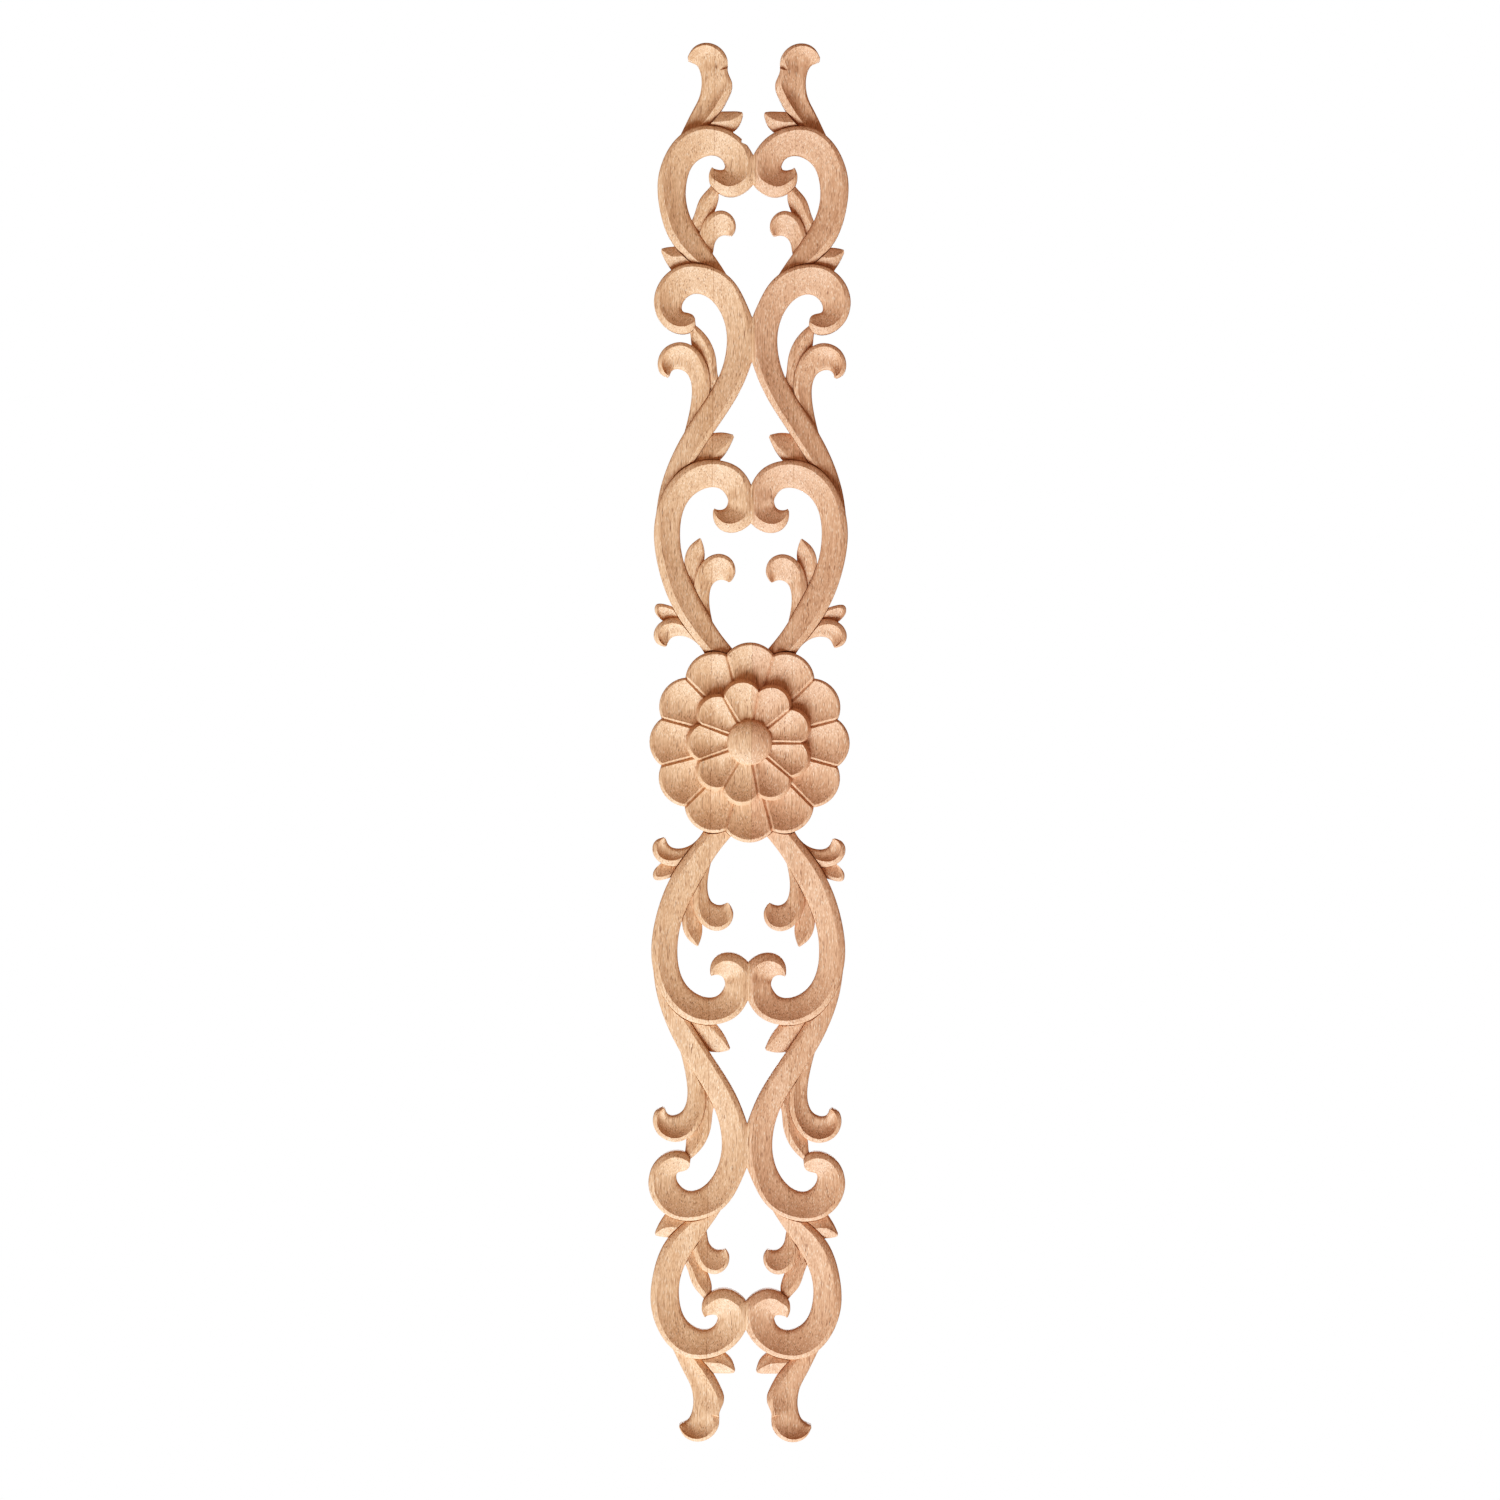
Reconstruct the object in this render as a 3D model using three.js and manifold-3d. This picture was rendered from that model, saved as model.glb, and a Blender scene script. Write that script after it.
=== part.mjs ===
// A long openwork onlay for furniture, carved in one piece of wood: mirrored C and S scrolls with lobes and
// small leaves, and a rosette in the middle. Millimetres. The flat back lies in the plane y = 0, the carving
// faces -Y, and the length runs along Z. The origin is in the middle of the rosette's back.
import * as THREE from "three";
import Module from "manifold-3d";

const wasm = await Module();
wasm.setup();

// Driving dimensions
const LENGTH = 800;
const SCROLL_HEIGHT = 12; // from the back to the crest of a scroll
const BEVEL = 3; // usual width of the bevel between a scroll's outer edge and its crest
const DIP = 0.6; // how far a hollow face dips below a straight slope
const ROSETTE_DIAMETER = 114.6;
const ROSETTE_PROUD = 1; // how far the rosette reaches beyond the widest scrolls, on each side
const ROSETTE_RIM_HEIGHT = 13;
const ROSETTE_RIM_BEVEL = 1.8;
const ROSETTE_EDGE_HEIGHT = 11.8; // top of the rosette's outer wall
const PETAL_FOOT_HEIGHT = 9.6; // the outer petals' sides, beside the inner ring
const PETAL_SCOOP = 2.1; // how far an outer petal's middle dips below its sides
const INNER_RING_DIAMETER = 73.2;
const INNER_RING_HEIGHT = 15;
const INNER_RIM_BEVEL = 2.2;
const INNER_RING_EDGE_HEIGHT = 10.5;
const INNER_PETAL_FOOT_HEIGHT = 11;
const INNER_PETAL_SCOOP = 1.5;
const BUTTON_DIAMETER = 26;
const BUTTON_HEIGHT = 16;
const BUTTON_EDGE_HEIGHT = 12.2; // top of the button's wall
const VEIN_WIDTH = 2.2; // the V-cut between two petals
const VEIN_DEPTH = 1.6;
const UNDERLAP_HEIGHT = 4.5; // how much of a lower form is left below the form that crosses it

// Facet sizes
const LONGEST_FACET = 60;
const FACET_STRAY = 0.45; // how far an outline may stray from its curve between two stations
const SAMPLES = 24; // fine samples between two rows of a form
const FACET_SLACK = 0.12; // how far a merged facet may stray

const CUT_HEIGHT = 2 * BUTTON_HEIGHT; // above all the carving
const OVERLAP = 0.05; // how far a cut stays inside the outline of the form that fills it
const SCROLL_WIDTH = ROSETTE_DIAMETER - 2 * ROSETTE_PROUD; // across the widest pair of scrolls

// Proportions of the carving
const BEVEL_SLOPE = 0.45; // how steeply a bevel rises from the outer wall to the crest
const INNER_SHARE = 0.52; // inner edge's height over the crest's, at the least
const FACE_SLOPE = 0.46; // how steeply a face falls from the crest to the inner edge, at the most
const DIP_PLACE = 0.45; // where a face dips or bulges most, on the way from the crest to the inner edge
const WIDEST_BEVEL = 0.72; // of the strip's width

// One quarter of the pattern is drawn in squares, this many across and along.
const SQUARES_ACROSS = 56.3;
const SQUARES_ALONG = 400;

// Each form is a strip between an outer edge, with the crest beside it, and an inner edge. A row holds a
// point of the outer edge and its partner on the inner edge. The bevel's width and the crest's height
// follow, as shares of BEVEL and SCROLL_HEIGHT. Then may come how level the face is, from 0 to 1, and for a
// face that isn't straight its dip as a share of DIP.
const STRAIGHT_ROW = 7;

// The C scroll at the end: tail under the S scroll, over the arc, round the eye to the nib
const END_C = [
  [20, 262, 9.3, 257.5, 1.2, 0.72, 0.1],
  [28, 269, 14, 266.5, 1.3, 0.8, 0.15],
  [36, 275.3, 20, 275.8, 1.4, 0.86, 0.2],
  [46.2, 286, 28.4, 287.6, 1.4, 0.93, 0.2],
  [53, 303, 36.4, 302.6, 1.3, 1],
  [54.7, 318, 38.5, 316.5, 1.2, 1],
  [52.4, 330.8, 36.1, 328, 1, 1],
  [45.2, 343.8, 31.1, 334, 0.85, 1],
  [33.8, 351.6, 25.3, 336.4, 0.85, 1],
  [20, 351.9, 20.3, 335.8, 0.85, 1],
  [7, 345.4, 17.3, 333.2, 0.95, 1],
  [-0.9, 334.2, 16.3, 330.6, 1.3, 1],
  [-2.8, 328, 16.2, 329.7, 1.75, 1],
  [-1.6, 322.4, 16.5, 328.9, 1.7, 1],
  [4.8, 315.2, 17, 328.1, 1.85, 1],
  [12.6, 312.5, 18.9, 327.7, 1.9, 1],
  [20.2, 314.9, 21, 327.9, 1.85, 1],
  [24.9, 320.4, 22.3, 328.2, 1.1, 0.95],
  [25.2, 325.4, 22.9, 328.5, 0.6, 0.9],
  [24, 328.4, 23.3, 328.9, 0.3, 0.85],
];

// The S scroll: thin tail outside the centre C, along the middle line, over the arc, round the eye
const S_SCROLL = [
  [52, 131, 54.7, 127.5, 0.4, 0.6],
  [43.5, 143, 52.8, 142, 0.8, 0.66, 0.1],
  [33, 160, 46.8, 161, 0.95, 0.8, 0.2],
  [20.5, 179.4, 36.9, 180, 1, 0.92, 0.25],
  [6.2, 202.5, 22.8, 201.8, 1.15, 1, 0.25],
  [-0.4, 219.5, 16.2, 217.5, 1.35, 1, 0.1],
  [-2.6, 231.5, 14.5, 229.5, 1.7, 1],
  [3.3, 251, 17.6, 245.2, 0.95, 1],
  [13.2, 266.2, 24, 253.9, 0.68, 1],
  [27, 273, 30.2, 257, 0.72, 1],
  [41, 272.6, 35.6, 256.3, 0.68, 1],
  [52, 264.6, 39.4, 252.6, 0.9, 1],
  [56.3, 252.8, 40.4, 249.2, 1.1, 1],
  [53.9, 242.6, 39.7, 246.7, 1.1, 1],
  [47.2, 235.8, 37.5, 245.9, 1.15, 1],
  [39.6, 233.7, 35.2, 245.2, 1.45, 0.97],
  [34.2, 235.6, 33.5, 243.9, 1.4, 0.92],
  [32.3, 239.2, 32.7, 242.4, 0.6, 0.85],
];

// The C scroll by the rosette: tail under it, up the side, over the arc, round the eye to the nib
const CENTRE_C = [
  [13, 33, -2, 39, 1.3, 0.8, 0.2],
  [22, 46, 7, 50, 1.4, 0.88, 0.25],
  [34, 61.4, 17.6, 63, 1.4, 0.95, 0.3],
  [44.2, 76.6, 26.2, 77, 1.45, 1, 0.3],
  [51.6, 94.8, 35, 94, 1.5, 1, 0.2],
  [55.1, 112, 39.8, 110, 1.4, 1],
  [54.6, 129, 40, 127.5, 1.2, 1],
  [47.9, 146.6, 34.8, 139.8, 1.05, 1],
  [35.5, 158.5, 27.2, 145.2, 1.05, 1],
  [20, 161.5, 20.8, 146.2, 0.88, 1],
  [7, 157, 16.5, 144.4, 0.92, 1],
  [-0.5, 146.3, 13.8, 140.6, 1.2, 1],
  [-2.8, 137.4, 13.2, 138.2, 1.75, 1],
  [-2.4, 129.6, 13.7, 136, 1.6, 1],
  [3, 123, 14.7, 134.3, 1.65, 1],
  [10.6, 120.2, 16.8, 133.2, 1.75, 1],
  [17.8, 122.2, 18.9, 133.1, 1.75, 1],
  [21.6, 128, 20.2, 133.4, 1.1, 0.95],
  [21.8, 132.4, 21, 133.8, 0.3, 0.85],
];

// The horn at the end, with a cross fold that parts its two scoops at the notch
const END_HORN = [
  [33, 344, 46.5, 338.5, 0.9, 0.6, 0, 0.5],
  [26.3, 352.4, 40.3, 351, 1.3, 0.7, 0, 1],
  [18.8, 361.3, 34.9, 361.8, 1.5, 0.86, 0, 2.5],
  [13.9, 370.2, 31, 370, 1.4, 0.95, 0, 3],
  [12.3, 377, 29.9, 377.2, 1.1, 1, 0, 1.5],
  [14.9, 384.4, 30.7, 384, 0.7, 1, 0, 0.2],
  [15, 390, 31.9, 387, 0.7, 1, 0, 1],
  [19.2, 397, 33.5, 388.6, 0.75, 1, 0, 1.3],
  [27.8, 399.99, 35.2, 389.4, 0.75, 0.98, 0, 1],
  [34.8, 397, 36.7, 390, 0.7, 0.95, 0, 0.5],
  [37.9, 391.9, 37.7, 390.4, 0.3, 0.85, 0, 0],
];

// Small leaves, from the hidden foot to the point: the crest runs from the point to the foot
const END_LEAF = [
  [27, 360, 27, 341, 1.9, 0.84],
  [20.3, 361, 19, 343, 2.1, 0.88],
  [13.8, 361.2, 12.8, 348.8, 1.9, 0.88],
  [9.2, 361.1, 8, 353.7, 1.1, 0.85],
  [6.5, 360.6, 6, 359.3, 0.3, 0.78],
];
const OUTER_LEAF = [
  [32, 284, 31, 262, 2, 0.8],
  [42.6, 283.8, 42, 264.5, 2.1, 0.84],
  [46.6, 283.5, 46.6, 270.4, 1.9, 0.84],
  [49.8, 283, 50.2, 276, 1.1, 0.8],
  [52.1, 282.3, 52.4, 280.8, 0.3, 0.74],
];
const MIDDLE_LEAF = [
  [31, 153, 38, 168, 1.2, 0.66, 0, -0.8],
  [24, 156.5, 31, 173, 1.3, 0.72, 0, -0.8],
  [17.3, 162.4, 23.5, 176.8, 1.2, 0.76, 0, -0.8],
  [12.9, 168.6, 16.2, 177.5, 0.9, 0.76, 0, -0.5],
  [10, 175, 10.7, 176.2, 0.3, 0.7, 0, 0],
];
const ROSETTE_LEAF = [
  [36, 75, 38, 66, 0.7, 0.6],
  [43, 77, 43, 66, 0.7, 0.66],
  [49, 78.9, 46.5, 67, 0.7, 0.7],
  [54.2, 78.4, 48.6, 68, 0.8, 0.72],
  [54.7, 74.6, 49.5, 68.8, 0.9, 0.72],
  [51.6, 70.4, 50.2, 69.3, 0.3, 0.66],
];

// Leaflets, straight blades between a scroll and its lobe
const END_LEAFLET = [
  [40, 288, 29, 285, 0.6, 0.54],
  [36.5, 295.5, 28.5, 292, 0.7, 0.58],
  [33, 304, 23.2, 301.8, 1, 0.66],
  [29.8, 312, 20, 310, 1.2, 0.72],
  [25, 317.6, 20.2, 316, 0.9, 0.68],
  [23.4, 319.8, 21.9, 319.3, 0.3, 0.6],
];
const S_LEAFLET = [
  [16.5, 202, 24, 197, 0.8, 0.56],
  [19.4, 210, 26.8, 206, 0.9, 0.6],
  [20.8, 221, 29.8, 217.8, 1, 0.68],
  [25.2, 231.4, 34.4, 225.9, 1, 0.72],
  [31.6, 238.1, 35.5, 234, 0.7, 0.68],
  [34.4, 240.2, 36.4, 237.8, 0.4, 0.6],
];
const CENTRE_LEAFLET = [
  [41, 88, 31, 88, 0.6, 0.54],
  [38.4, 97, 29, 96, 0.7, 0.6],
  [37.7, 106, 26.5, 105, 0.85, 0.68],
  [34.3, 113, 26.9, 111.8, 0.85, 0.72],
  [29.3, 116.9, 28.5, 116.4, 0.3, 0.66],
];

// Lobes that curl away from the scrolls
const END_LOBE = [
  [31, 279, 24, 276, 0.7, 0.54],
  [31, 287, 22.5, 281.8, 0.9, 0.6],
  [29.6, 294.6, 21.6, 286.4, 1, 0.7],
  [24.6, 302, 18.8, 290, 0.9, 0.8],
  [17, 304.2, 15.8, 290.8, 0.8, 0.86],
  [10.6, 299.2, 13.7, 290.4, 0.75, 0.86],
  [9.9, 293.6, 12.7, 290.2, 0.6, 0.82],
  [11.2, 291, 12.2, 290, 0.3, 0.78],
];
const S_LOBE = [
  [32, 176, 40.2, 171.5, 0.7, 0.54, 0, 1],
  [27, 189, 36.2, 187, 0.8, 0.6, 0, 1],
  [23.9, 203, 34.4, 202, 0.9, 0.7, 0, 1],
  [25.5, 214.8, 35.9, 209.2, 0.9, 0.8, 0, 1],
  [32.6, 225.6, 39.2, 212.9, 0.8, 0.88, 0, 1.5],
  [41.5, 228.8, 42.6, 213.9, 0.75, 0.88, 0, 2],
  [50.4, 225, 45, 213.4, 0.8, 0.88, 0, 2.5],
  [54, 217, 46.2, 212.2, 0.95, 0.88, 0, 2.5],
  [52.4, 211.1, 46.9, 210.8, 0.95, 0.86, 0, 1.5],
  [48.5, 208.8, 47.2, 209.6, 0.4, 0.8, 0, 0],
];
const CENTRE_LOBE = [
  [29, 63, 20, 62.5, 1, 0.58],
  [32.3, 78, 23.2, 77, 1.3, 0.62],
  [32.2, 91.5, 23.3, 85.8, 1.4, 0.72],
  [27.3, 103.4, 20.8, 91.6, 0.9, 0.82],
  [18.2, 107.9, 16.7, 93.2, 0.8, 0.88],
  [10.3, 103.8, 13.9, 92.5, 0.8, 0.88],
  [8.9, 96.4, 12.7, 91.9, 0.7, 0.84],
  [10.8, 92.7, 12.1, 91.6, 0.3, 0.78],
];
const ROSETTE_LOBE = [
  [24, 58, 24.5, 47.5, 1.7, 0.62, 0, -1],
  [31, 65, 29, 55, 1.7, 0.7, 0, -1],
  [38.5, 70.2, 36, 60.1, 1.5, 0.78, 0, 0],
  [46, 70.8, 42.4, 60.8, 1.05, 0.84, 0, 1],
  [52.8, 67.2, 45.7, 59.2, 0.9, 0.86, 0, 1.5],
  [55.3, 60.6, 47, 57.2, 1, 0.86, 0, 1.5],
  [53, 56.1, 47.6, 55.7, 0.9, 0.82, 0, 1],
  [49, 54.5, 48, 54.9, 0.3, 0.76, 0, 0],
];

// Lowest form first: each form lies over those before it.
const LAYERS = [
  END_LEAF, END_HORN, END_LEAFLET, END_LOBE, OUTER_LEAF,
  S_LEAFLET, S_LOBE, MIDDLE_LEAF,
  CENTRE_LEAFLET, CENTRE_LOBE, ROSETTE_LEAF, ROSETTE_LOBE,
  END_C, S_SCROLL, CENTRE_C,
];

// The petals' scalloped outlines and hollows
const OUTER_PETALS = 12;
const INNER_PETALS = 9;
const OUTER_VALLEY_SHARE = 0.911; // a valley's radius over a tip's
const INNER_VALLEY_SHARE = 0.85;
const INNER_RING_TURN = Math.PI / INNER_PETALS; // a vein points straight across
const HOLLOW_FROM = 0.37; // on the way from the foot to the rim, where a petal starts to rise
const RIM_SCOOP_SHARE = 0.2; // how much of a petal's scoop is left at the rim
const DOME_POWER = 2.6; // how flat the button's middle is

// The chip in the rim of one end scroll, as a three-sided prism: corners in squares
const CHIP = [
  [-7.3, 343.3],
  [-3.6, 341.7],
  [-5.6, 347],
];

// Closed surfaces

// A solid from points and polygons. The polygons all turn the same way, and it faces outwards.
function solidOf(points, polygons) {
  const triangles = [];
  for (const polygon of polygons) {
    for (let k = 2; k < polygon.length; k++) {
      triangles.push([polygon[0], polygon[k - 1], polygon[k]]);
    }
  }
  let volume = 0;
  for (const [a, b, c] of triangles) {
    const [p, q, r] = [points[a], points[b], points[c]];
    volume += new THREE.Vector3(...p).dot(new THREE.Vector3(...q).cross(new THREE.Vector3(...r)));
  }
  const facing = volume > 0 ? triangles : triangles.map(([a, b, c]) => [a, c, b]);
  const mesh = new wasm.Mesh({
    numProp: 3,
    vertProperties: new Float32Array(points.flat()),
    triVerts: new Uint32Array(facing.flat()),
  });
  return new wasm.Manifold(mesh);
}

// The skin that joins a row of like sections, closed by the first and the last of them
function loft(sections) {
  const corners = sections[0].length;
  const polygons = [];
  for (let s = 1; s < sections.length; s++) {
    for (let k = 0; k < corners; k++) {
      const next = (k + 1) % corners;
      const here = s * corners;
      const before = here - corners;
      polygons.push([before + k, before + next, here + next, here + k]);
    }
  }
  const last = (sections.length - 1) * corners;
  const ring = [...Array(corners).keys()];
  polygons.push(ring.slice().reverse());
  polygons.push(ring.map((k) => last + k));
  return solidOf(sections.flat(), polygons);
}

// The same solid seen in a mirror across the plane where x or z is zero
function mirrored(solid, axis) {
  const mesh = solid.getMesh();
  const points = [];
  for (let i = 0; i < mesh.vertProperties.length; i += mesh.numProp) {
    const point = [...mesh.vertProperties.slice(i, i + 3)];
    point[axis] = -point[axis];
    points.push(point);
  }
  const polygons = [];
  for (let i = 0; i < mesh.triVerts.length; i += 3) {
    polygons.push([...mesh.triVerts.slice(i, i + 3)]);
  }
  return solidOf(points, polygons);
}

// Strips

// A smooth curve through the rows, each column by itself, with no bend at its two ends
function smoothCurve(places, rows) {
  const last = rows.length - 1;
  const bends = rows[0].map((_, column) => {
    const ratio = [0];
    const sum = [0];
    for (let i = 1; i < last; i++) {
      const before = places[i] - places[i - 1];
      const after = places[i + 1] - places[i];
      const slopeAfter = (rows[i + 1][column] - rows[i][column]) / after;
      const slopeBefore = (rows[i][column] - rows[i - 1][column]) / before;
      const pivot = 2 * (before + after) - before * ratio[i - 1];
      ratio.push(after / pivot);
      sum.push((6 * (slopeAfter - slopeBefore) - before * sum[i - 1]) / pivot);
    }
    const bend = rows.map(() => 0);
    for (let i = last - 1; i > 0; i--) {
      bend[i] = sum[i] - ratio[i] * bend[i + 1];
    }
    return bend;
  });
  return (i, share) => {
    const span = places[i + 1] - places[i];
    const [a, b] = [1 - share, share];
    return rows[i].map((value, column) => {
      const bend = bends[column];
      const lift = (a ** 3 - a) * bend[i] + (b ** 3 - b) * bend[i + 1];
      return a * value + b * rows[i + 1][column] + (lift * span * span) / 6;
    });
  };
}

// How far a row's outer or inner point lies from the middle of the line between its two neighbours'
function strayFrom(before, row, after) {
  const stray = (column) => row[column] - (before[column] + after[column]) / 2;
  return Math.max(Math.hypot(stray(0), stray(1)), Math.hypot(stray(2), stray(3)));
}

// The samples to keep as stations, closer together where the edges bend more. The highest one is among them.
function evenly(fine) {
  const effort = [0];
  for (let i = 1; i < fine.length; i++) {
    const middle = Math.min(Math.max(i, 1), fine.length - 2);
    const stray = strayFrom(fine[middle - 1], fine[middle], fine[middle + 1]);
    const length = Math.hypot(fine[i][0] - fine[i - 1][0], fine[i][1] - fine[i - 1][1]);
    effort.push(effort[i - 1] + Math.sqrt(stray / (4 * FACET_STRAY)) + length / LONGEST_FACET);
  }
  const last = fine.length - 1;
  const count = Math.ceil(effort[last]);
  const step = effort[last] / count;
  const kept = [...Array(count).keys()].map((k) => effort.findIndex((value) => value >= step * k));
  const highest = fine.reduce((best, row, i) => (row[1] > fine[best][1] ? i : best), 0);
  if (highest > kept[1] && highest < last) {
    kept[kept.findLastIndex((i) => i <= highest)] = highest;
  }
  return [...kept, last].map((i) => fine[i]);
}

// Stations along a form, in millimetres: outer point, inner point, bevel, crest, level share and dip
function stationsOf(form) {
  const across = SCROLL_WIDTH / 2 / SQUARES_ACROSS;
  const along = LENGTH / 2 / SQUARES_ALONG;
  const rows = form.map(([ox, oz, ix, iz, bevel, crest, level = 0, dip = 0]) => [
    ox * across, oz * along, ix * across, iz * along, bevel * BEVEL, crest * SCROLL_HEIGHT, level, dip * DIP,
  ]);
  const places = [0];
  rows.slice(1).forEach((row, i) => {
    const outer = Math.hypot(row[0] - rows[i][0], row[1] - rows[i][1]);
    const inner = Math.hypot(row[2] - rows[i][2], row[3] - rows[i][3]);
    places.push(places[i] + (outer + inner) / 2);
  });
  const curve = smoothCurve(places, rows);
  const fine = [];
  for (let k = 0; k <= SAMPLES * (rows.length - 1); k++) {
    const i = Math.min(Math.floor(k / SAMPLES), rows.length - 2);
    fine.push(curve(i, k / SAMPLES - i));
  }
  return evenly(fine).map(([ox, oz, ix, iz, bevel, crest, level, dip]) => {
    const width = Math.hypot(ix - ox, iz - oz);
    return {
      outer: [ox, oz],
      side: [(ix - ox) / width, (iz - oz) / width],
      width,
      bevel: Math.min(bevel, WIDEST_BEVEL * width),
      crest,
      level,
      dip,
    };
  });
}

// The point that lies so far from a station's outer edge towards the inner one, at a height above the back
function stationPoint(station, distance, height) {
  const { outer, side } = station;
  return [outer[0] + side[0] * distance, -height, outer[1] + side[1] * distance];
}

// The carved strip: outer wall, bevel up to the crest, a face down to the inner edge, inner wall. The face
// is straight, or hollow or bulging where the form gives dips.
function strip(form) {
  const dipped = form[0].length > STRAIGHT_ROW;
  return loft(
    stationsOf(form).map((station) => {
      const { width, bevel, crest, level, dip } = station;
      const fall = Math.min(crest * (1 - INNER_SHARE), FACE_SLOPE * (width - bevel));
      const inner = crest - fall * (1 - level);
      const place = bevel + (width - bevel) * DIP_PLACE;
      const height = crest + (inner - crest) * DIP_PLACE - dip;
      return [
        stationPoint(station, 0, 0),
        stationPoint(station, 0, crest - bevel * BEVEL_SLOPE),
        stationPoint(station, bevel, crest),
        ...(dipped ? [stationPoint(station, place, height)] : []),
        stationPoint(station, width, inner),
        stationPoint(station, width, 0),
      ];
    }),
  );
}

// What a strip cuts from the forms below it: all above a height, within its own outline
function stripCut(form) {
  return loft(
    stationsOf(form).map((station) => [
      stationPoint(station, OVERLAP, UNDERLAP_HEIGHT),
      stationPoint(station, OVERLAP, CUT_HEIGHT),
      stationPoint(station, station.width - OVERLAP, CUT_HEIGHT),
      stationPoint(station, station.width - OVERLAP, UNDERLAP_HEIGHT),
    ]),
  );
}

// Rosette

// Radius of a scalloped outline whose lobes are arcs, at an angle from the middle of a lobe
function scallop(tip, valleyShare, halfAngle, angle) {
  const valley = tip * valleyShare;
  const out = valley * Math.cos(halfAngle);
  const centre = (tip ** 2 - valley ** 2) / (2 * (tip - out));
  const radius = tip - centre;
  return centre * Math.cos(angle) + Math.sqrt(radius ** 2 - (centre * Math.sin(angle)) ** 2);
}

// Angles round a ring of petals: each has the vein's middle and edge, and points across the petal. The vein
// keeps its width, so its edge comes nearer to its middle as the radius grows.
const ACROSS_PETAL = [-1, -0.5, 0, 0.5, 1];
function petalAngles(count, radius) {
  const half = Math.PI / count;
  const veinAngle = Math.asin(Math.min(VEIN_WIDTH / 2 / radius, 0.4 * half));
  const angles = [];
  for (let petal = 0; petal < count; petal++) {
    const middle = 2 * half * petal;
    angles.push({ middle, offset: -half, across: -1, vein: true });
    for (const across of ACROSS_PETAL) {
      angles.push({ middle, offset: across * (half - veinAngle), across, vein: false });
    }
  }
  return angles;
}

// A ring of petals as a closed solid: from a foot circle out to a raised rim, a bevel and a wall. Each
// petal is hollow both along and across, and rises faster and faster towards its rim.
function petalRing(ring) {
  const { count, turn, diameter, valleyShare, footRadius } = ring;
  const { footHeight, scoop, rimHeight, rimBevel, edgeHeight } = ring;
  const half = Math.PI / count;
  const tip = diameter / 2;
  const rings = [];
  const ringAt = (shareOut, inset, heightOf) =>
    rings.push(
      petalAngles(count, footRadius + (tip - footRadius) * shareOut).map((place) => {
        const edge = scallop(tip, valleyShare, half, place.offset) - inset;
        const radius = footRadius + (edge - footRadius) * shareOut;
        const angle = turn + place.middle + place.offset;
        return [radius * Math.cos(angle), -heightOf(place), radius * Math.sin(angle)];
      }),
    );
  for (const share of [0, HOLLOW_FROM, (HOLLOW_FROM + 1) / 2, 1]) {
    ringAt(share, rimBevel, ({ across, vein }) => {
      const down = Math.min(1, (1 - share) / (1 - HOLLOW_FROM));
      const fall = 2 * down - down * down;
      const middle = scoop * (RIM_SCOOP_SHARE + (1 - RIM_SCOOP_SHARE) * fall) * (1 - across * across);
      return rimHeight - (rimHeight - footHeight) * fall - middle - (vein ? VEIN_DEPTH : 0);
    });
  }
  ringAt(1, 0, ({ vein }) => edgeHeight - (vein ? VEIN_DEPTH : 0));
  ringAt(1, 0, () => 0);
  const points = rings.flat();
  const around = rings[0].length;
  const polygons = [];
  for (let r = 1; r < rings.length; r++) {
    for (let k = 0; k < around; k++) {
      const next = (k + 1) % around;
      const [a, b] = [(r - 1) * around, r * around];
      polygons.push([a + k, a + next, b + next, b + k]);
    }
  }
  const top = points.push([0, scoop - footHeight, 0]) - 1;
  const back = points.push([0, 0, 0]) - 1;
  const last = (rings.length - 1) * around;
  for (let k = 0; k < around; k++) {
    const next = (k + 1) % around;
    polygons.push([top, next, k]);
    polygons.push([back, last + k, last + next]);
  }
  return solidOf(points, polygons);
}

// The domed button in the middle
function button() {
  const radius = BUTTON_DIAMETER / 2;
  const fall = BUTTON_HEIGHT - BUTTON_EDGE_HEIGHT;
  const sides = 24;
  const profile = [0.4, 0.72, 1].map((share) => [radius * share, BUTTON_HEIGHT - fall * share ** DOME_POWER]);
  const rings = [...profile, [radius, 0]].map(([r, height]) =>
    [...Array(sides).keys()].map((k) => {
      const angle = (2 * Math.PI * k) / sides;
      return [r * Math.cos(angle), -height, r * Math.sin(angle)];
    }),
  );
  const points = rings.flat();
  const polygons = [];
  for (let r = 1; r < rings.length; r++) {
    for (let k = 0; k < sides; k++) {
      const next = (k + 1) % sides;
      const [a, b] = [(r - 1) * sides, r * sides];
      polygons.push([a + k, a + next, b + next, b + k]);
    }
  }
  const top = points.push([0, -BUTTON_HEIGHT, 0]) - 1;
  const back = points.push([0, 0, 0]) - 1;
  const last = (rings.length - 1) * sides;
  for (let k = 0; k < sides; k++) {
    const next = (k + 1) % sides;
    polygons.push([top, next, k]);
    polygons.push([back, last + k, last + next]);
  }
  return solidOf(points, polygons);
}

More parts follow.
